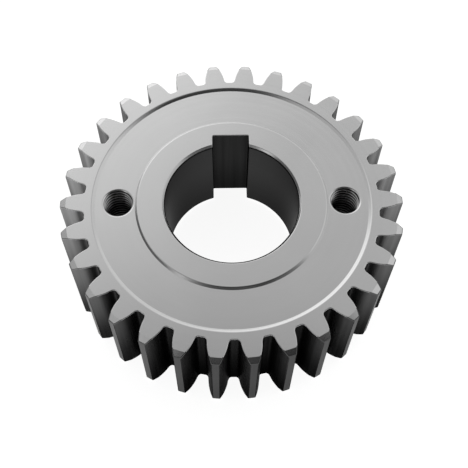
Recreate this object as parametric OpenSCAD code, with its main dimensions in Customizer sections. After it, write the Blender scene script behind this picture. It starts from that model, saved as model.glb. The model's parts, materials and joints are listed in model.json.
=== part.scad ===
// Timing gear: a straight-toothed spur gear turned, hobbed and broached from one steel blank.
// The underside lies on z = 0, +Z runs up the bore and +Y points at the keyway.

/* [Teeth] */
// Number of teeth
teeth = 30; // [28:1:60]
// Module, which is the pitch diameter divided by the number of teeth
tooth_module = 4; // [3.75:0.25:8]
// Pressure angle of the flanks, in degrees
pressure_angle = 20; // [17.5:0.5:25]
// Height of a tooth above the pitch circle, in modules
addendum = 1; // [0.8:0.05:1.1]
// Depth of a tooth space below the pitch circle, in modules
dedendum = 1.25; // [1.15:0.05:1.4]
// Thickness taken off each tooth at the pitch circle, for backlash
tooth_thinning = 0.12; // [0:0.02:0.4]
// Radius on the tips of the rack that generates the root fillets
rack_tip_r = 0.8; // [0.3:0.1:1.2]
// Width of the face, from the underside to the top
face_w = 40; // [20:1:80]
// Chamfer at both ends of the tooth tips, measured along the radius
tip_chamfer_r = 2.3; // [0.5:0.1:3]
// Chamfer at both ends of the tooth tips, measured along the axis
tip_chamfer_z = 1; // [0.3:0.1:3]

/* [Bore and keyway] */
// Diameter of the bore
bore_d = 50; // [30:1:60]
// Chamfer at both ends of the bore
bore_chamfer = 1; // [0.5:0.1:2]
// Width of the keyway
key_w = 14; // [6:1:18]
// Depth of the keyway, from the bore's wall at the middle of the keyway
key_depth = 4.3; // [2:0.1:6]

/* [Top face] */
// Width of the hub's flat ring round the bore
hub_ring_w = 10; // [7:0.5:12]
// Width of the rim's flat ring inside the tooth roots
rim_ring_w = 2.5; // [1.5:0.1:5]
// Depth of the relief between the hub's ring and the rim's ring
relief_depth = 0.65; // [0.3:0.05:3]
// Width of the slope from the hub's ring down into the relief
hub_slope_w = 1.1; // [0.3:0.1:2]
// Width of the slope from the rim's ring down into the relief
rim_slope_w = 1.5; // [0.3:0.1:2]

/* [Puller holes] */
// Number of tapped holes
puller_count = 2; // [2:1:6]
// Outer diameter of the thread, which is cut right through
thread_d = 12; // [6:1:13]
// Pitch of the thread
thread_pitch = 1.75; // [0.75:0.25:2]
// How much wider than the thread the chamfered mouths are
mouth_extra = 0.3; // [0.2:0.1:1]
// Flat left between a mouth and the foot of the hub's slope
mouth_gap = 0.1; // [0.1:0.1:2]

/* [Hidden] */
$fn = 180;

// Straight pieces on each flank and on each root fillet
flank_steps = 7;
fillet_steps = 6;
// How far a cut runs on past the surface that it starts from
overrun = 1;

// The gear's circles
pitch_r = tooth_module * teeth / 2;
tip_r = pitch_r + addendum * tooth_module;
root_r = pitch_r - dedendum * tooth_module;

// The turned blank
bore_r = bore_d / 2;
hub_r = bore_r + hub_ring_w;
relief_in_r = hub_r + hub_slope_w;
rim_in_r = root_r - rim_ring_w;
relief_out_r = rim_in_r - rim_slope_w;
relief_z = face_w - relief_depth;

// The tapped holes, drilled to the thread's inner diameter
core_r = (thread_d - 1.0825 * thread_pitch) / 2;
mouth_r = (thread_d + mouth_extra) / 2;
mouth_depth = mouth_r - core_r;
puller_circle_r = relief_in_r + mouth_gap + mouth_r;

// The generating rack, whose tooth is centred on a tooth space of the gear.
// Its flanks run straight down to round corners, and corner_x and corner_y are the
// middle of a corner, from the rack tooth's centre line and below the pitch line.
rack_half_w = PI * tooth_module / 4 + tooth_thinning / 2;
corner_y = dedendum * tooth_module - rack_tip_r;
corner_x = rack_half_w - corner_y * tan(pressure_angle) - rack_tip_r / cos(pressure_angle);

// Where the contact on a flank starts and ends, along the line of action from the pitch point
contact_r = tip_r + overrun * tooth_module / 2;
contact_start = pitch_r * sin(pressure_angle)
    - sqrt(pow(contact_r, 2) - pow(pitch_r * cos(pressure_angle), 2));
contact_end = corner_y / sin(pressure_angle) + rack_tip_r;

// A point of contact at [x, y] from the pitch point, after the rack has moved by travel,
// turned back with the gear so that the tooth space is centred on the X axis
function turned_back(x, y, travel) =
    let (angle = atan2(x, pitch_r + y) - travel / pitch_r * 180 / PI)
    norm([x, pitch_r + y]) * [cos(angle), sin(angle)];

// A point of the involute flank, at s along the line of action
function flank_point(s) = turned_back(
    s * cos(pressure_angle),
    -s * sin(pressure_angle),
    s / cos(pressure_angle) - rack_half_w);

// A point of the root fillet, where the rack's round corner touches at the given angle
function fillet_point(angle) = turned_back(
    corner_y / tan(angle) + rack_tip_r * cos(angle),
    -corner_y - rack_tip_r * sin(angle),
    corner_y / tan(angle) - corner_x);

// One side of a tooth space, from outside the tip circle down to the root
space_side = [
    for (i = [0 : flank_steps])
        flank_point(contact_start + (contact_end - contact_start) * i / flank_steps),
    for (i = [1 : fillet_steps])
        fillet_point(pressure_angle + (90 - pressure_angle) * i / fillet_steps)
];

// One tooth space, centred on the X axis
module tooth_space() {
    other_side = [for (i = [len(space_side) - 1 : -1 : 0]) [space_side[i].x, -space_side[i].y]];
    translate([0, 0, -overrun])
        linear_extrude(face_w + 2 * overrun)
            polygon(concat(space_side, other_side));
}

// The blank as it comes off the lathe
module blank() {
    rotate_extrude()
        polygon([
            [bore_r, bore_chamfer],
            [bore_r + bore_chamfer, 0],
            [tip_r - tip_chamfer_r, 0],
            [tip_r, tip_chamfer_z],
            [tip_r, face_w - tip_chamfer_z],
            [tip_r - tip_chamfer_r, face_w],
            [rim_in_r, face_w],
            [relief_out_r, relief_z],
            [relief_in_r, relief_z],
            [hub_r, face_w],
            [bore_r + bore_chamfer, face_w],
            [bore_r, face_w - bore_chamfer]
        ]);
}

// The slot for a parallel key, towards +Y
module keyway() {
    translate([-key_w / 2, 0, -overrun])
        cube([key_w, bore_r + key_depth, face_w + 2 * overrun]);
}

// A core hole with a 45 degree chamfer at each mouth
module puller_hole() {
    rotate_extrude()
        polygon([
            [0, -overrun],
            [mouth_r + overrun, -overrun],
            [core_r, mouth_depth],
            [core_r, relief_z - mouth_depth],
            [mouth_r + overrun, relief_z + overrun],
            [0, relief_z + overrun]
        ]);
}

module timing_gear() {
    color("silver")
        difference() {
            blank();
            // A tooth space lines up with the keyway, which sets the gear's timing
            for (i = [0 : teeth - 1])
                rotate(90 + i * 360 / teeth)
                    tooth_space();
            keyway();
            // The holes are spaced evenly, the first a quarter turn from the keyway
            for (i = [0 : puller_count - 1])
                rotate(i * 360 / puller_count)
                    translate([puller_circle_r, 0, 0])
                        puller_hole();
        }
}

timing_gear();
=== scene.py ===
import json
import math

import bmesh
import bpy
import numpy as np
from mathutils import Matrix, Vector
from mathutils.geometry import delaunay_2d_cdt


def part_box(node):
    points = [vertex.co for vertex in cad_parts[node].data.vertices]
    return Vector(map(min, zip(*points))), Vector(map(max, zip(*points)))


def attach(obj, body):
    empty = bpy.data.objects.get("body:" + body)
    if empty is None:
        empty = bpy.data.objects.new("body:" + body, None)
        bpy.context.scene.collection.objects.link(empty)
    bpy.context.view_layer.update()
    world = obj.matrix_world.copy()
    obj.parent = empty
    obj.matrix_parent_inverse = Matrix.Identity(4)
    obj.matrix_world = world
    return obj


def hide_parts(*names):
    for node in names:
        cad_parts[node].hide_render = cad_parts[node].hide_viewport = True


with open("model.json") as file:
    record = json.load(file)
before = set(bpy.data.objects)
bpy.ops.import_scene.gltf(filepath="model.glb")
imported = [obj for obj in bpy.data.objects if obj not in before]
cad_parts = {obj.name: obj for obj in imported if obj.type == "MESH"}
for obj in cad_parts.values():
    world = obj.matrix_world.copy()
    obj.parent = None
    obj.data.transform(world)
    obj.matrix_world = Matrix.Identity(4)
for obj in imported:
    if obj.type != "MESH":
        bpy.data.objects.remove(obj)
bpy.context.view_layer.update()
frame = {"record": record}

# Lengths below are in millimetres and angles in radians, unless a name or a comment says otherwise.
MM = 0.001
NODE = "timing_gear"
mounts = {m["name"]: m for m in frame["record"]["mounts"]}

# The gear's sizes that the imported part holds
TIP_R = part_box(NODE)[1].x / MM
FACE_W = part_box(NODE)[1].z / MM
BORE_R = mounts["shaft_bore"]["dims"]["r_mm"]
CORE_R = mounts["puller_hole_right"]["dims"]["r_mm"]
PULLER_R = mounts["puller_hole_right"]["pos_m"][0] / MM
KEY_FLOOR = mounts["keyway"]["pos_m"][1] / MM

# The rest of its sizes, as in the part's source
TEETH = 30
MODULE = 4
PRESSURE_ANGLE = math.radians(20)
DEDENDUM = 1.25
THINNING = 0.12
RACK_TIP_R = 0.8
TIP_CHAMFER_R = 2.3
TIP_CHAMFER_Z = 1
BORE_CHAMFER = 1
KEY_W = 14
HUB_RING_W = 10
RIM_RING_W = 2.5
RELIEF_DEPTH = 0.65
HUB_SLOPE_W = 1.1
RIM_SLOPE_W = 1.5
THREAD_D = 12
THREAD_PITCH = 1.75
MOUTH_R = 6.15

# The gear's circles and heights that follow from them
PITCH_R = MODULE * TEETH / 2
ROOT_R = PITCH_R - DEDENDUM * MODULE
HUB_R = BORE_R + HUB_RING_W
RIM_IN_R = ROOT_R - RIM_RING_W
HUB_FOOT_R = HUB_R + HUB_SLOPE_W
RIM_FOOT_R = RIM_IN_R - RIM_SLOPE_W
RELIEF_Z = FACE_W - RELIEF_DEPTH
TOOTH_ANGLE = 2 * math.pi / TEETH

# The generating rack: half the width of its tooth at the pitch line, the middle of the tooth's round
# corner, from the tooth's centre line and below the pitch line, and where the contact on a flank of
# the gear ends, along the line of action from the pitch point
RACK_HALF_W = math.pi * MODULE / 4 + THINNING / 2
CORNER_Y = DEDENDUM * MODULE - RACK_TIP_R
CORNER_X = RACK_HALF_W - CORNER_Y * math.tan(PRESSURE_ANGLE) - RACK_TIP_R / math.cos(PRESSURE_ANGLE)
CONTACT_END = CORNER_Y / math.sin(PRESSURE_ANGLE) + RACK_TIP_R

# Small roundings, which every machined edge has
EDGE = 0.34
TIP_CORNER = 0.38
KEY_CORNER = 0.38
KEY_FILLET = 0.4
CREASE_R = 0.15
BORE_CREASE_R = 0.4
FOOT_R = 0.1
MOUTH_EDGE_R = 1.0
# How steep the slopes of the relief are below their rounded noses, and how much of the flat from a
# ring's edge to its slope's corner the nose takes up
HUB_SLOPE_TILT = math.radians(38)
RIM_SLOPE_TILT = math.radians(32)
NOSE_SHARE = 0.92

# The thread's crest and each of its slopes, as shares of the pitch, and how high the crest starts
# on the +X side of a hole
CREST_SHARE = 0.25
SLOPE_SHARE = 0.3125
THREAD_START = 0.35
# Where each countersink would reach its face without its rounded edge, and how deep that edge is
MOUTH_CORNER_R = MOUTH_R - MOUTH_EDGE_R * math.tan(math.pi / 8)
MOUTH_DROP = MOUTH_EDGE_R * (1 - math.cos(math.pi / 4))
# How fast the grooves deepen below a mouth, in radius for each millimetre of height
RUN_OUT = 4

# How finely the mesh follows the form
ARC_STEP = math.radians(12)
ROOT_STEPS = 2
FILLET_STEPS = 7
FLANK_STEPS = 12
CORNER_STEPS = 3
EDGE_STEPS = 3
TOOTH_COLUMNS = 8
BORE_STEPS = 72
KEY_STEPS = 4
HOLE_STEPS = 72
# Where the mesh has a row of points along the thread, as shares of the pitch
THREAD_ROWS = [0, 0.125, 0.25, 0.35, 0.45, 0.5625, 0.6875, 0.8, 0.9]
# The least space between a crease and an even row on a flank, as a share of the rows' spacing
ROW_GAP = 1 / 3
# A stretch to either side of an edge that holds all of its rounding
BESIDE = 1
# A length too small to matter, and one that only stands in for zero
TINY = 1e-6
NONZERO = 1e-12
# The triangulation's settings: all triangles inside the outline's hull, and how far apart points are
# taken as one
TRIANGLES = 0
SAME_POINT = 1e-7
# How often the search for a place on a flank is halved
HALVINGS = 50
# How far inside a face the thread's slope is taken, as a share of the way to its middle, and over
# what distance
SLOPE_INSET = 0.1
SLOPE_STEP = 1e-3

# The kinds of surface, which are the mesh's material slots
FACED, LANDED, HOBBED, BORED, BROACHED, TAPPED = range(6)

# Tool marks: how many cuts and how many broader bands there are a metre, and the cuts' depth
LATHE_MARKS = (4000, 800, 0.004)
HOB_MARKS = (1500, 700, 0.01)
# What a place is multiplied by for a hob's marks, which draws them out along the axis
DRAWN_OUT = (1, 1, 0.02)
# The steel's mottle: how many spots there are a metre, their detail, and what they and the bands
# of tool marks change
MOTTLE_SCALE = 60
MOTTLE_DETAIL = 3.0
MOTTLE_SHADE = 0.08
MOTTLE_ROUGHNESS = 0.06
BAND_ROUGHNESS = 0.08
# Where the painted shade changes: how high up a wall, as a share of the face width, how far out from
# the roots, how far from a thread's crest into its groove, and two stretches of depth in a tapped
# hole, over which its grooves darken and its mouth's light shade ends
WALL_SHADE = 0.7
ROOT_SHADE = 5
GROOVE_SHADE = 0.4
DEEP_SHADE = (0.5, 12)
MOUTH_SHADE = (0.3, 0.7)

# Where the photograph was taken from: angles in degrees, the camera's distance from the middle of the
# top face, where that middle lies to the right of the camera's axis and above it, and the lens
CAMERA_AZIMUTH = -2.08
CAMERA_ELEVATION = 62.09
CAMERA_ROLL = 1.13
CAMERA_DISTANCE = 323.1
CAMERA_RIGHT = -1.0
CAMERA_UP = 12.56
CAMERA_LENS = 66.77
CAMERA_SHIFT = (-0.5 / 468, 0.5 / 468)

# The floor's size in metres, how far it lies below the gear, and its paint and glow
FLOOR_SIZE = 60
FLOOR_GAP = 0.05
FLOOR_GREY = 0.4
FLOOR_GLOW = 0.92

# The dome's light level: how far towards the back it changes from one level to the other, and
# those levels
SIDE_TO_BACK = (0.56, 0.72, 0.57, 0.78)
# Patches of the dome: the amount of light added, or the share that is left, then the azimuth from
# behind the gear, the elevation, and the angles at which the patch is full and gone, in degrees
BACK_LAMPS = [
    (0.4, -20, 19, 1, 36),
    (0.32, -21, 47, 5, 20),
]
DARK_PATCHES = [
    (0.08, 182, 66, 28, 50),
    (0.19, -100, -17, 45, 64),
    (0.25, 133, 38, 12, 28),
]
SIDE_LAMPS = [
    (0.8, -60, -2, 3, 14),
    (0.6, -130, 25, 3, 12),
    (0.6, -129, 47, 3, 11),
    (0.4, -110, 62, 4, 18),
    (0.2, 72, 45, 5, 32),
]


def unit(v):
    """v with each vector along its last axis made one long."""
    return v / np.maximum(np.linalg.norm(v, axis=-1, keepdims=True), NONZERO)


def turned(plane, angle):
    """Plane points turned about the origin."""
    c, s = np.cos(angle), np.sin(angle)
    return np.stack([plane[..., 0] * c - plane[..., 1] * s,
                     plane[..., 0] * s + plane[..., 1] * c], -1)


def polar(radius, angle):
    """Plane points from radii and angles."""
    return np.stack([radius * np.cos(angle), radius * np.sin(angle)], -1)


def flipped(plane, axis=1):
    """Plane points or normals in reverse order, on the other side of the X axis, or of the Y axis
    with axis 0."""
    signs = np.ones(2)
    signs[axis] = -1
    return plane[::-1] * signs


def raised(plane, height):
    """Plane points or normals with a third part added."""
    return np.concatenate([plane, height[..., None]], -1)


def level(normals):
    """Plane normals as normals in space."""
    return raised(normals, np.zeros_like(normals[..., 0]))


def quads(grid):
    """The four corners of each face between neighbours in a rows by columns array."""
    return np.stack([grid[:-1, :-1], grid[:-1, 1:], grid[1:, 1:], grid[1:, :-1]], 2)


def within(plane, loops):
    """Which plane points have an odd number of the loops round them."""
    start = np.concatenate(loops)
    end = np.concatenate([np.roll(loop, -1, 0) for loop in loops])
    x, y = plane[:, 0, None], plane[:, 1, None]
    spans = (start[:, 1] > y) != (end[:, 1] > y)
    rise = np.where(spans, end[:, 1] - start[:, 1], 1)
    crossing = start[:, 0] + (y - start[:, 1]) * (end[:, 0] - start[:, 0]) / rise
    return (spans & (x < crossing)).sum(1) % 2 == 1


class Sheets:
    """Gathers faces, each with the true surface normals at its corners and its kind of surface."""

    def __init__(self):
        self.stores = []

    def faces(self, points, normals, kind):
        """Faces given one by one, as arrays of faces by corners by 3."""
        across = np.cross(points[:, 2] - points[:, 0], points[:, -1] - points[:, 1])
        wrong = ((across * normals.mean(1)).sum(-1) < 0)[:, None, None]
        self.stores.append((np.where(wrong, points[:, ::-1], points),
                            np.where(wrong, normals[:, ::-1], normals),
                            np.broadcast_to(kind, len(points)).astype(np.int32)))

    def grid(self, points, normals, kind):
        """Faces between neighbours in a rows by columns array of points.
        The kind may differ by column."""
        corners = [quads(np.asarray(a)).reshape(-1, 4, 3) for a in (points, normals)]
        self.faces(*corners, np.tile(kind, len(points) - 1) if np.ndim(kind) else kind)

    def flat(self, loops, z, up, kind):
        """A flat face inside an outer loop of plane points and outside any further loops."""
        starts = np.cumsum([0] + [len(loop) for loop in loops])
        edges = [(a + i, a + (i + 1) % (b - a))
                 for a, b in zip(starts, starts[1:]) for i in range(b - a)]
        corners = [Vector(p) for p in np.concatenate(loops)]
        found = delaunay_2d_cdt(corners, edges, [], TRIANGLES, SAME_POINT)
        vertices, triangles = found[0], found[2]
        plane = np.array([[v.x, v.y, z] for v in vertices])
        points = plane[np.array([list(f) for f in triangles])]
        points = points[within(points.mean(1), loops)]
        self.faces(points, np.broadcast_to([0.0, 0.0, up], points.shape), kind)

    def build(self, name, materials):
        """One welded object with the normals as given."""
        loops, count = [], 0
        for points, _, _ in self.stores:
            faces, sides = points.shape[:2]
            loops += (np.arange(faces * sides).reshape(faces, sides) + count).tolist()
            count += faces * sides
        mesh = bpy.data.meshes.new(name)
        mesh.from_pydata(np.concatenate([s[0].reshape(-1, 3) for s in self.stores]) * MM, [], loops)
        mesh.polygons.foreach_set("material_index", np.concatenate([s[2] for s in self.stores]))
        facing = np.concatenate([s[1].reshape(-1, 3) for s in self.stores])
        kept = mesh.attributes.new("facing", "FLOAT_VECTOR", "CORNER")
        kept.data.foreach_set("vector", facing.astype(np.float32).ravel())
        weld(mesh)
        facing = np.zeros(len(mesh.loops) * 3, np.float32)
        mesh.attributes["facing"].data.foreach_get("vector", facing)
        mesh.attributes.remove(mesh.attributes["facing"])
        mesh.shade_smooth()
        mesh.normals_split_custom_set(unit(facing.reshape(-1, 3)))
        for material in materials:
            mesh.materials.append(material)
        piece = bpy.data.objects.new(name, mesh)
        bpy.context.scene.collection.objects.link(piece)
        return piece


def weld(mesh, apart=1e-6):
    """Joins corners that meet, within a micrometre, and drops the faces that this closes up."""
    bm = bmesh.new()
    bm.from_mesh(mesh)
    bmesh.ops.remove_doubles(bm, verts=bm.verts, dist=apart)
    bmesh.ops.dissolve_degenerate(bm, edges=bm.edges, dist=apart)
    bm.to_mesh(mesh)
    bm.free()


def rounded_profile(corners, radii):
    """A turned profile of (radius, height) corners, with arcs at its inner corners.
    Returns its points and its normals, which point up."""
    corners = np.array(corners, float)
    lines = unit(np.diff(corners, axis=0))
    ups = np.stack([-lines[:, 1], lines[:, 0]], -1)
    points, normals = [corners[0]], [ups[0]]
    for corner, radius, line, up, after in zip(corners[1:], radii, lines, ups, lines[1:]):
        turn = math.atan2(line[0] * after[1] - line[1] * after[0], line @ after)
        side = up * math.copysign(radius, turn)
        centre = corner - line * radius * math.tan(abs(turn) / 2) + side
        steps = max(2, math.ceil(abs(turn) / ARC_STEP))
        for i in range(steps + 1):
            points.append(centre - turned(side, turn * i / steps))
            normals.append(turned(up, turn * i / steps))
    points.append(corners[-1])
    normals.append(ups[-1])
    return np.array(points), np.array(normals)


class EndFace:
    """The turned surface at one end of the gear: its height and normal at any radius.
    It is given as the top's profile, and turned over for the bottom, where up is -1."""

    def __init__(self, corners, radii, up):
        self.up = up
        self.points, self.normals = rounded_profile(corners, radii)
        if up < 0:
            self.points[:, 1] = FACE_W - self.points[:, 1]
            self.normals[:, 1] *= -1

    def radii(self, low, high):
        """The radii of the surface's own rings between two radii."""
        r = self.points[:, 0]
        return list(r[(r > low + TINY) & (r < high - TINY)])

    def lift(self, plane):
        """Plane points raised onto the surface."""
        return raised(plane, np.interp(np.linalg.norm(plane, axis=-1), *self.points.T))

    def facing(self, plane):
        """The surface's normals at plane points."""
        r = np.linalg.norm(plane, axis=-1)
        out = np.interp(r, self.points[:, 0], self.normals[:, 0])
        up = np.interp(r, self.points[:, 0], self.normals[:, 1])
        return unit(raised(unit(plane) * out[..., None], up))


def touched(x, y, travel, tilt):
    """A point of the tooth space and its normal, where the generating rack touches it at (x, y)
    from the pitch point, after the rack has moved by travel. The space is centred on the X axis."""
    angle = -travel / PITCH_R
    return (turned(np.array([PITCH_R + y, x]), angle),
            turned(np.array([math.sin(tilt), -math.cos(tilt)]), angle))


def flank_at(s):
    """The involute flank's point and normal at s along the line of action."""
    return touched(s * math.cos(PRESSURE_ANGLE), -s * math.sin(PRESSURE_ANGLE),
                   s / math.cos(PRESSURE_ANGLE) - RACK_HALF_W, PRESSURE_ANGLE)


def fillet_at(tilt):
    """The root fillet's point and normal where the rack's round corner touches it at that tilt."""
    return touched(CORNER_Y / math.tan(tilt) + RACK_TIP_R * math.cos(tilt),
                   -CORNER_Y - RACK_TIP_R * math.sin(tilt),
                   CORNER_Y / math.tan(tilt) - CORNER_X, tilt)


def flank_where(radius, inset):
    """The place along the line of action where the flank reaches a radius, once it is moved into
    the tooth by inset."""
    low, high = -TIP_R / 2, CONTACT_END
    for _ in range(HALVINGS):
        middle = (low + high) / 2
        point, normal = flank_at(middle)
        if np.linalg.norm(point - normal * inset) > radius:
            low = middle
        else:
            high = middle
    return low


def tooth_side(crease_radii):
    """One side of a tooth from the middle of the root to the tip land, as points and normals.
    The tooth is centred on the X axis, and this is its side towards -Y. Its first ROOT_STEPS points
    lie on the root circle."""
    root_half = CORNER_X / PITCH_R
    rows = [(polar(ROOT_R, root_half * i / ROOT_STEPS), polar(1, root_half * i / ROOT_STEPS))
            for i in range(ROOT_STEPS)]
    tilts = np.linspace(math.pi / 2, PRESSURE_ANGLE, FILLET_STEPS + 1)
    rows += [fillet_at(tilt) for tilt in tilts[:-1]]
    last = flank_where(TIP_R - TIP_CORNER, TIP_CORNER)
    creases = [flank_where(r, EDGE) for r in crease_radii]
    even = np.linspace(CONTACT_END, last, FLANK_STEPS + 1)
    clear = (CONTACT_END - last) / FLANK_STEPS * ROW_GAP
    even = [s for s in even if s == last or min(abs(s - c) for c in creases) > clear]
    rows += [flank_at(s) for s in sorted(even + creases, reverse=True)]
    corner, start = flank_at(last)
    centre = corner - start * TIP_CORNER
    for i in range(CORNER_STEPS):
        normal = unit(start + (unit(centre) - start) * (i + 1) / CORNER_STEPS)
        rows.append((centre + normal * TIP_CORNER, normal))
    points, normals = (np.array(v) for v in zip(*rows))
    return turned(points, -TOOTH_ANGLE / 2), turned(normals, -TOOTH_ANGLE / 2)


def all_round(plane):
    """What is given for one tooth, repeated for every tooth and closed."""
    angles = TOOTH_ANGLE * np.arange(TEETH)[:, None]
    loop = turned(plane[None, :-1], angles).reshape(-1, 2)
    return np.concatenate([loop, loop[:1]])


def edge_strip(end, plane, normals, kind, edge_kind, sheets):
    """The rounded edge between a wall and an end face. Its first strip is of the wall's own kind.
    Returns the row where the wall starts."""
    rows, facing = [], []
    for a in np.linspace(0, math.pi / 2, EDGE_STEPS + 1):
        inset = plane - normals * EDGE * (1 - math.cos(a))
        row = end.lift(inset)
        row[..., 2] -= end.up * EDGE * (1 - math.sin(a))
        rows.append(row)
        facing.append(unit(level(normals) * math.cos(a) + end.facing(inset) * math.sin(a)))
    sheets.grid(rows[:2], facing[:2], kind)
    sheets.grid(rows[1:], facing[1:], edge_kind)
    return rows[0]


def wall(ends, plane, normals, kind, edge_kind, sheets):
    """A straight wall from end to end, with its rounded edges."""
    rows = [edge_strip(end, plane, normals, kind, edge_kind, sheets) for end in ends]
    sheets.grid(rows, [level(normals)] * 2, kind)


def end_sheet(end, plane, sheets):
    """A part of an end face, through rows of plane points."""
    sheets.grid(end.lift(plane), end.facing(plane), FACED)


def rings(end, radii, angles, sheets):
    """The part of an end face between rings of points."""
    end_sheet(end, polar(np.array(radii)[:, None], angles[None, :]), sheets)


def toothed_rim(ends, sheets):
    """The teeth, from end to end.
    Returns the angles of the ring of points at the foot of the teeth."""
    creases = ends[0].radii(TIP_R - TIP_CHAMFER_R - BESIDE, TIP_R - TIP_CHAMFER_R + BESIDE)
    side, side_normals = tooth_side(creases)
    tip_angle = math.atan2(side[-1][1], side[-1][0])
    land = polar(1, np.linspace(tip_angle, -tip_angle, TOOTH_COLUMNS + 1))[1:-1]
    outline = all_round(np.concatenate([side, land * TIP_R, flipped(side)]))
    normals = all_round(np.concatenate([side_normals, land, flipped(side_normals)]))
    side_kinds = [HOBBED] * (len(side) - 1)
    wall_kinds = side_kinds + [LANDED] * TOOTH_COLUMNS + side_kinds
    on_chamfer = np.linalg.norm(side, axis=1)[1:] > creases[-1]
    side_edge = list(np.where(on_chamfer, HOBBED, FACED))
    edge_kinds = side_edge + [HOBBED] * TOOTH_COLUMNS + side_edge[::-1]
    wall(ends, outline, normals, np.tile(wall_kinds, TEETH), np.tile(edge_kinds, TEETH), sheets)

    inset = side - side_normals * EDGE
    across = np.linspace(1, -1, TOOTH_COLUMNS + 1)
    rows = np.array([polar(np.linalg.norm(p), across * math.atan2(p[1], p[0]))
                     for p in inset[ROOT_STEPS:]])
    for end in ends:
        for i in range(TEETH):
            end_sheet(end, turned(rows, TOOTH_ANGLE * i), sheets)
    root = inset[:ROOT_STEPS]
    loop = all_round(np.concatenate([root, rows[0], flipped(root)]))
    return np.unwrap(np.arctan2(loop[:, 1], loop[:, 0]))


def keyed_bore(ends, sheets):
    """The bore and the keyway, from end to end.
    Returns the loop of points where their chamfer meets each face."""
    half_w = KEY_W / 2
    out_w = half_w + EDGE
    chamfer = [BORE_R + EDGE] + ends[0].radii(BORE_R + EDGE, BORE_R + BORE_CHAMFER + BESIDE)
    corner_x = half_w + KEY_CORNER
    corner = np.array([corner_x, math.sqrt((BORE_R + KEY_CORNER) ** 2 - corner_x ** 2)])
    fillet = np.array([half_w - KEY_FILLET, KEY_FLOOR - KEY_FILLET])
    down, inward = np.array([0.0, -1.0]), np.array([-1.0, 0.0])

    # The +X half, from the middle of the keyway's floor to the far side of the bore
    rows = [(np.array([x, KEY_FLOOR]), down) for x in np.linspace(0, fillet[0], KEY_STEPS)]
    for a in np.linspace(math.pi / 2, 0, KEY_STEPS + 1)[1:]:
        rows.append((fillet + polar(KEY_FILLET, a), -polar(1, a)))
    side_start = len(rows)
    rows += [(np.array([half_w, math.sqrt(r * r - out_w * out_w)]), inward)
             for r in chamfer[:0:-1]]
    corner_start = len(rows)
    for i in range(CORNER_STEPS + 1):
        normal = unit(inward + (-unit(corner) - inward) * i / CORNER_STEPS)
        rows.append((corner + normal * KEY_CORNER, normal))
    corner_angle = math.atan2(corner[1], corner[0])
    for a in np.linspace(corner_angle, -math.pi / 2, BORE_STEPS + 1)[1:]:
        rows.append((polar(BORE_R, a), -polar(1, a)))
    plane, normals = (np.array(v) for v in zip(*rows))

    # Rings of the chamfer, each from the keyway's side to the far side of the bore
    lip = plane - normals * EDGE
    ring_rows = [lip[corner_start:]]
    angles = np.arctan2(ring_rows[0][:, 1], ring_rows[0][:, 0])
    share = (angles - angles[-1]) / (angles[0] - angles[-1])
    for r in chamfer[1:]:
        start = math.acos(out_w / r)
        ring_rows.append(polar(r, angles[-1] + (start - angles[-1]) * share))

    keyway, bore = slice(corner_start + 1), slice(corner_start, None)
    for sign in (1, -1):
        both = np.array([sign, 1])
        wall(ends, plane[keyway] * both, normals[keyway] * both, BROACHED, FACED, sheets)
        wall(ends, plane[bore] * both, normals[bore] * both, BORED, BORED, sheets)
        for end in ends:
            end_sheet(end, np.array(ring_rows) * both, sheets)
    half = np.concatenate([lip[:side_start], ring_rows[-1]])
    return np.concatenate([half, flipped(half, 0)[1:-1]])


def thread_radius(angle, z):
    """The wall's radius in a tapped hole, with the countersink at each mouth."""
    turn = (z / THREAD_PITCH - angle / (2 * math.pi) - THREAD_START) % 1
    rise = np.clip((turn - CREST_SHARE) / SLOPE_SHARE, 0, 1)
    fall = np.clip((1 - turn) / SLOPE_SHARE, 0, 1)
    thread = CORE_R + (THREAD_D / 2 - CORE_R) * np.minimum(rise, fall)
    deep = np.minimum(z, RELIEF_Z - z)
    run_out = MOUTH_CORNER_R - MOUTH_DROP + RUN_OUT * (deep - MOUTH_DROP)
    return np.maximum(np.minimum(thread, run_out), MOUTH_CORNER_R - deep)


def thread_facing(angle, z):
    """The thread's normals at the corners of faces, each from the slope just inside its own face."""
    inner_angle, inner_z = (a + (a.mean(2, keepdims=True) - a) * SLOPE_INSET for a in (angle, z))

    def change(angle_step, z_step):
        ahead = thread_radius(inner_angle + angle_step, inner_z + z_step)
        behind = thread_radius(inner_angle - angle_step, inner_z - z_step)
        return (ahead - behind) / (2 * SLOPE_STEP)

    by_z = change(0, SLOPE_STEP)
    by_angle = change(SLOPE_STEP / thread_radius(inner_angle, inner_z), 0)
    c, s = np.cos(angle), np.sin(angle)
    return unit(np.stack([-c - by_angle * s, -s + by_angle * c, by_z], -1))


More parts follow.
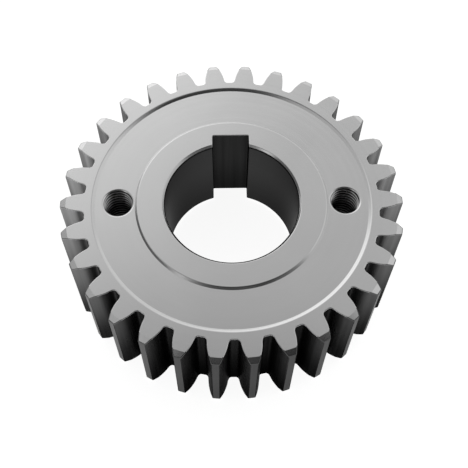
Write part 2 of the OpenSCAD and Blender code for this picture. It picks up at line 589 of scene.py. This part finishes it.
def tapped_hole(ends, centre, sheets):
    """A tapped hole with its mouths. Returns the loop of points where each mouth meets its face."""
    around = np.linspace(0, 2 * math.pi, HOLE_STEPS + 1)
    corners = [(MOUTH_CORNER_R - BESIDE, -BESIDE), (MOUTH_CORNER_R, 0), (MOUTH_R + BESIDE, 0)]
    profile, ups = (v[1:-1] for v in rounded_profile(corners, [MOUTH_EDGE_R]))
    for end, face_z in zip(ends, (RELIEF_Z, 0.0)):
        plane = polar(profile[:, :1], around[None, :])
        height = np.broadcast_to(face_z + end.up * profile[:, 1:], plane.shape[:2])
        spokes = polar(ups[:, :1], around[None, :])
        lift = np.broadcast_to(end.up * ups[:, 1:], plane.shape[:2])
        sheets.grid(raised(plane + centre, height), raised(spokes, lift), FACED)

    # The thread's rows wind up the hole, and flatten out where they meet a mouth
    turns = np.arange(-2, math.ceil(RELIEF_Z / THREAD_PITCH) + 2)
    starts = (turns[:, None] + np.array(THREAD_ROWS) + THREAD_START).ravel()[:, None]
    z = starts * THREAD_PITCH + THREAD_PITCH * around[None, :] / (2 * math.pi)
    z = np.clip(z, MOUTH_DROP, RELIEF_Z - MOUTH_DROP)
    angle = np.broadcast_to(around[None, :], z.shape)
    points = raised(polar(thread_radius(angle, z), angle) + centre, z)
    normals = thread_facing(quads(angle), quads(z))
    sheets.faces(quads(points).reshape(-1, 4, 3), normals.reshape(-1, 4, 3), TAPPED)
    return polar(profile[-1][0], around[:-1]) + centre


def nose(width, tilt):
    """Where the corner of a slope of the relief lies from its upper end, and the radius that rounds
    it so that the slope is steepest at its foot."""
    reach = width - RELIEF_DEPTH / math.tan(tilt)
    return reach, NOSE_SHARE * reach / math.tan(tilt / 2)


def gear(materials):
    """The whole gear as one closed mesh."""
    sheets = Sheets()
    bore_lip = [(BORE_R, FACE_W - BORE_CHAMFER), (BORE_R + BORE_CHAMFER, FACE_W)]
    tip_lip = [(TIP_R - TIP_CHAMFER_R, FACE_W), (TIP_R, FACE_W - TIP_CHAMFER_Z)]
    hub_reach, hub_nose_r = nose(HUB_SLOPE_W, HUB_SLOPE_TILT)
    rim_reach, rim_nose_r = nose(RIM_SLOPE_W, RIM_SLOPE_TILT)
    relief = [(HUB_R + hub_reach, FACE_W), (HUB_FOOT_R, RELIEF_Z),
              (RIM_FOOT_R, RELIEF_Z), (RIM_IN_R - rim_reach, FACE_W)]
    top = EndFace(bore_lip + relief + tip_lip,
                  [BORE_CREASE_R, hub_nose_r, FOOT_R, FOOT_R, rim_nose_r, CREASE_R], 1)
    bottom = EndFace(bore_lip + tip_lip, [BORE_CREASE_R, CREASE_R], -1)
    ends = (top, bottom)

    angles = toothed_rim(ends, sheets)
    bore_loop = keyed_bore(ends, sheets)
    holes = [tapped_hole(ends, np.array([x, 0.0]), sheets) for x in (PULLER_R, -PULLER_R)]

    teeth_foot_r = ROOT_R - EDGE
    rim_radii = top.radii(RIM_FOOT_R - BESIDE, teeth_foot_r) + [teeth_foot_r]
    hub_radii = top.radii(HUB_R - BESIDE, HUB_FOOT_R + BESIDE)
    rings(top, rim_radii, angles, sheets)
    rings(top, hub_radii, angles, sheets)
    loop = angles[:-1]
    web = [polar(rim_radii[0], loop), polar(hub_radii[-1], loop)]
    sheets.flat(web + holes, RELIEF_Z, 1, FACED)
    sheets.flat([polar(hub_radii[0], loop), bore_loop], FACE_W, 1, FACED)
    sheets.flat([polar(teeth_foot_r, loop), bore_loop] + holes, 0.0, -1, FACED)
    return sheets.build("gear_steel", materials)


def node(tree, kind, inputs=None, **settings):
    """A new shader node, with its settings, and its inputs given values or linked."""
    made = tree.nodes.new(kind)
    for name, value in settings.items():
        setattr(made, name, value)
    for key, value in (inputs or {}).items():
        if isinstance(value, bpy.types.NodeSocket):
            tree.links.new(value, made.inputs[key])
        else:
            made.inputs[key].default_value = value
    return made


def maths(tree, operation, a, b=0.0):
    """The result of a sum on two sockets or numbers."""
    return node(tree, "ShaderNodeMath", {0: a, 1: b}, operation=operation).outputs[0]


def vector_maths(tree, operation, a, b=(0, 0, 0), output="Vector"):
    """The result of a sum on one or two vectors."""
    return node(tree, "ShaderNodeVectorMath", {0: a, 1: b}, operation=operation).outputs[output]


def parts(tree, vector):
    """The three parts of a vector."""
    return node(tree, "ShaderNodeSeparateXYZ", {0: vector}).outputs


def joined(tree, x, y=0.0, z=0.0):
    """A vector from its parts."""
    return node(tree, "ShaderNodeCombineXYZ", {0: x, 1: y, 2: z}).outputs[0]


def length(tree, x, y):
    """How long the vector (x, y) is."""
    return vector_maths(tree, "LENGTH", joined(tree, x, y), output="Value")


def eased(tree, value, low, high, at_low, at_high):
    """A value that eases from at_low to at_high while another goes from low to high."""
    inputs = {"Value": value, "From Min": low, "From Max": high,
              "To Min": at_low, "To Max": at_high}
    return node(tree, "ShaderNodeMapRange", inputs, interpolation_type="SMOOTHSTEP").outputs[0]


def noise(tree, vector, scale, detail=2.0):
    """Noise from 0 to 1 at a vector, with about that many features a metre."""
    inputs = {"Vector": vector, "Scale": scale, "Detail": detail}
    return node(tree, "ShaderNodeTexNoise", inputs).outputs["Fac"]


def mixture(tree, a, a_share, b, b_share):
    """Shares of two values, added up."""
    a = maths(tree, "MULTIPLY", a, a_share)
    b = maths(tree, "MULTIPLY", b, b_share)
    return maths(tree, "ADD", a, b)


def steel(name, grey, glancing, roughness, streaks, marks, painted_shading=None):
    """Bare steel, with its shade and roughness mottled a little and cut by fine tool marks.
    glancing is how much of its shine it keeps at a glancing angle, and streaks how uneven its
    marks are. marks gives the tool marks' coordinates, how many cuts and bands there are a metre,
    and their depth. painted_shading gives the painted light and shade that the shade is also
    multiplied by."""
    material = bpy.data.materials.new(name)
    material.use_nodes = True
    tree = material.node_tree
    shader = tree.nodes["Principled BSDF"]
    shader.inputs["Metallic"].default_value = 1.0
    shader.inputs["Specular Tint"].default_value = (*[glancing] * 3, 1)
    place = node(tree, "ShaderNodeTexCoord").outputs["Object"]
    lines, cuts, bands, depth = marks(tree, place)

    mottle = noise(tree, place, MOTTLE_SCALE, MOTTLE_DETAIL)
    cut = noise(tree, lines, cuts)
    broad = noise(tree, lines, bands)
    shade = mixture(tree, mottle, MOTTLE_SHADE, broad, streaks)
    shade = maths(tree, "ADD", shade, 1 - MOTTLE_SHADE / 2 - streaks / 2)
    if painted_shading:
        shade = maths(tree, "MULTIPLY", shade, painted_shading(tree, place))
    inputs = {0: [grey] * 3, "Scale": shade}
    colour = node(tree, "ShaderNodeVectorMath", inputs, operation="SCALE").outputs[0]
    tree.links.new(colour, shader.inputs["Base Color"])
    rough = mixture(tree, broad, BAND_ROUGHNESS, mottle, MOTTLE_ROUGHNESS)
    rough = maths(tree, "ADD", rough, roughness - (BAND_ROUGHNESS + MOTTLE_ROUGHNESS) / 2)
    tree.links.new(rough, shader.inputs["Roughness"])
    bump = node(tree, "ShaderNodeBump", {"Height": cut, "Distance": depth * MM, "Strength": 1.0})
    tree.links.new(bump.outputs["Normal"], shader.inputs["Normal"])
    return material


def round_marks(tree, place):
    """Marks of a lathe tool, in rings about the axis."""
    x, y, z = parts(tree, place)
    return joined(tree, length(tree, x, y), z=z), *LATHE_MARKS


def long_marks(tree, place):
    """Marks of a hob or a broach, along the axis."""
    return vector_maths(tree, "MULTIPLY", place, DRAWN_OUT), *HOB_MARKS


def darker_below(tree, place):
    """Darker towards the underside, where less light reaches."""
    height = parts(tree, place)[2]
    return eased(tree, height, low=0.0, high=WALL_SHADE * FACE_W * MM, at_low=0.6, at_high=1.0)


def lighter_behind(tree, place, way, low, high, lightest):
    """Lighter towards the back left, where the teeth pick up more light. way points there, and the
    shade changes between two distances along it."""
    along = vector_maths(tree, "DOT_PRODUCT", place, way, "Value")
    return eased(tree, along, low * MM, high * MM, at_low=0.65, at_high=lightest)


def painted_light_on_lands(tree, place):
    """Painted shade and light on the tip lands: darker towards the underside, and lighter towards the
    back left.
    """
    behind = lighter_behind(tree, place, way=(-0.15, 0.95, 0), low=-64, high=-30, lightest=2.4)
    return maths(tree, "MULTIPLY", darker_below(tree, place), behind)


def painted_shade_in_roots(tree, place):
    """Painted shade between the teeth and towards the underside, and painted light towards the back
    left.
    """
    x, y, z = parts(tree, place)
    root, clear = ROOT_R * MM, (ROOT_R + ROOT_SHADE) * MM
    between = eased(tree, length(tree, x, y), low=root, high=clear, at_low=0.55, at_high=1.0)
    below = eased(tree, z, low=0.0, high=FACE_W * MM, at_low=0.35, at_high=1.1)
    behind = lighter_behind(tree, place, way=(-0.15, 1.0, 0), low=-60, high=40, lightest=2.5)
    return maths(tree, "MULTIPLY", maths(tree, "MULTIPLY", between, below), behind)


def painted_shade_in_holes(tree, place):
    """Painted shade: darker down the hole and towards the bottom of the thread's grooves, with the
    crests painted lighter, but not darker at the mouths.
    """
    x, y, z = parts(tree, place)
    across = maths(tree, "SUBTRACT", maths(tree, "ABSOLUTE", x), PULLER_R * MM)
    crest, groove_low = CORE_R * MM, (CORE_R + GROOVE_SHADE) * MM
    groove = eased(tree, length(tree, across, y), crest, groove_low, at_low=1.3, at_high=0.02)
    middle = RELIEF_Z / 2
    from_middle = maths(tree, "ABSOLUTE", maths(tree, "SUBTRACT", z, middle * MM))
    high, low = ((middle - depth) * MM for depth in DEEP_SHADE)
    deep = eased(tree, from_middle, low, high, at_low=0.06, at_high=1.0)
    high, low = ((middle - depth) * MM for depth in MOUTH_SHADE)
    mouth = eased(tree, from_middle, low, high, at_low=0.0, at_high=1.0)
    return maths(tree, "MAXIMUM", maths(tree, "MULTIPLY", groove, deep), mouth)


def floor():
    """A pale floor that the camera and the metal see as white, with the gear's soft shadow."""
    bpy.ops.mesh.primitive_plane_add(size=FLOOR_SIZE, location=(0, 0, -FLOOR_GAP * MM))
    plane = bpy.context.object
    plane.name = "floor"
    material = bpy.data.materials.new("pale_floor")
    material.use_nodes = True
    tree = material.node_tree
    tree.nodes.clear()
    path = node(tree, "ShaderNodeLightPath").outputs
    seen = maths(tree, "MAXIMUM", path["Is Camera Ray"], path["Is Glossy Ray"])
    seen = maths(tree, "MAXIMUM", seen, path["Is Transmission Ray"])
    strength = maths(tree, "MULTIPLY", seen, FLOOR_GLOW)
    glow = node(tree, "ShaderNodeEmission", {"Strength": strength})
    paint = node(tree, "ShaderNodeBsdfDiffuse", {"Color": (*[FLOOR_GREY] * 3, 1)})
    both = node(tree, "ShaderNodeAddShader", {0: glow.outputs[0], 1: paint.outputs[0]})
    node(tree, "ShaderNodeOutputMaterial", {"Surface": both.outputs[0]})
    plane.data.materials.append(material)


def patch(tree, way, azimuth, elevation, inner, outer, outside, inside):
    """A round patch of the dome: inside up to its inner angle, outside beyond its outer one, and
    easing between them."""
    turn, rise = math.radians(azimuth), math.radians(elevation)
    middle = (math.sin(turn) * math.cos(rise), math.cos(turn) * math.cos(rise), math.sin(rise))
    along = vector_maths(tree, "DOT_PRODUCT", way, middle, "Value")
    edges = math.cos(math.radians(outer)), math.cos(math.radians(inner))
    return eased(tree, along, *edges, outside, inside)


def studio():
    """A soft white dome, brightest behind the gear on the left, and dark round the camera."""
    world = bpy.data.worlds.new("studio")
    bpy.context.scene.world = world
    world.use_nodes = True
    tree = world.node_tree
    sky = tree.nodes["Background"]
    sky.inputs["Color"].default_value = (1, 1, 1, 1)
    way = node(tree, "ShaderNodeTexCoord").outputs["Generated"]
    light = eased(tree, parts(tree, way)[1], *SIDE_TO_BACK)
    for amount, *lobe in BACK_LAMPS:
        light = maths(tree, "ADD", light, patch(tree, way, *lobe, 0.0, amount))
    for amount, *lobe in DARK_PATCHES:
        light = maths(tree, "MULTIPLY", light, patch(tree, way, *lobe, 1.0, amount))
    for amount, *lobe in SIDE_LAMPS:
        light = maths(tree, "ADD", light, patch(tree, way, *lobe, 0.0, amount))
    tree.links.new(light, sky.inputs["Strength"])


def camera():
    """The camera, where the photograph was taken from."""
    azimuth, elevation, roll = (math.radians(a)
                                for a in (CAMERA_AZIMUTH, CAMERA_ELEVATION, CAMERA_ROLL))
    back = Vector((math.sin(azimuth) * math.cos(elevation), -math.cos(azimuth) * math.cos(elevation),
                   math.sin(elevation)))
    level_way = Vector((0, 0, 1)).cross(back).normalized()
    rise = back.cross(level_way)
    right = level_way * math.cos(roll) + rise * math.sin(roll)
    up = rise * math.cos(roll) - level_way * math.sin(roll)
    place = Vector((0, 0, FACE_W)) + back * CAMERA_DISTANCE - right * CAMERA_RIGHT - up * CAMERA_UP
    data = bpy.data.cameras.new("camera")
    data.lens = CAMERA_LENS
    data.shift_x, data.shift_y = CAMERA_SHIFT
    eye = bpy.data.objects.new("camera", data)
    bpy.context.scene.collection.objects.link(eye)
    pose = Matrix((right, up, back)).transposed().to_4x4()
    eye.matrix_world = Matrix.Translation(place * MM) @ pose
    bpy.context.scene.camera = eye


def finishes():
    """The materials, one for each kind of surface, in the kinds' order."""
    # The greys of the lands, flanks, bore and keyway are partly their own finish and partly painted
    # shade: they are kept far darker than bare steel so that these surfaces show the dark
    # surroundings they would reflect.
    return [
        steel("faced_steel", grey=0.7, glancing=1.0, roughness=0.22, streaks=0.07,
              marks=round_marks),
        # The lands get painted shade towards the underside and painted light towards the back left.
        steel("ground_steel", grey=0.08, glancing=0.62, roughness=0.38, streaks=0.6,
              marks=long_marks, painted_shading=painted_light_on_lands),
        # The flanks get painted shade between the teeth and towards the underside, and painted light
        # towards the back left.
        steel("hobbed_steel", grey=0.19, glancing=0.04, roughness=0.4, streaks=0.6,
              marks=long_marks, painted_shading=painted_shade_in_roots),
        steel("bored_steel", grey=0.055, glancing=0.42, roughness=0.38, streaks=0.3,
              marks=round_marks, painted_shading=darker_below),
        steel("broached_steel", grey=0.034, glancing=0.33, roughness=0.38, streaks=0.8,
              marks=long_marks, painted_shading=darker_below),
        # The tapped holes get painted shade down the hole and in the grooves, with their crests
        # painted lighter.
        steel("tapped_steel", grey=0.6, glancing=1.0, roughness=0.3, streaks=0.14,
              marks=round_marks, painted_shading=painted_shade_in_holes),
    ]


bpy.context.scene.view_settings.view_transform = "Standard"
camera()
floor()
studio()
piece = gear(finishes())
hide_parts(NODE)
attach(piece, "root")
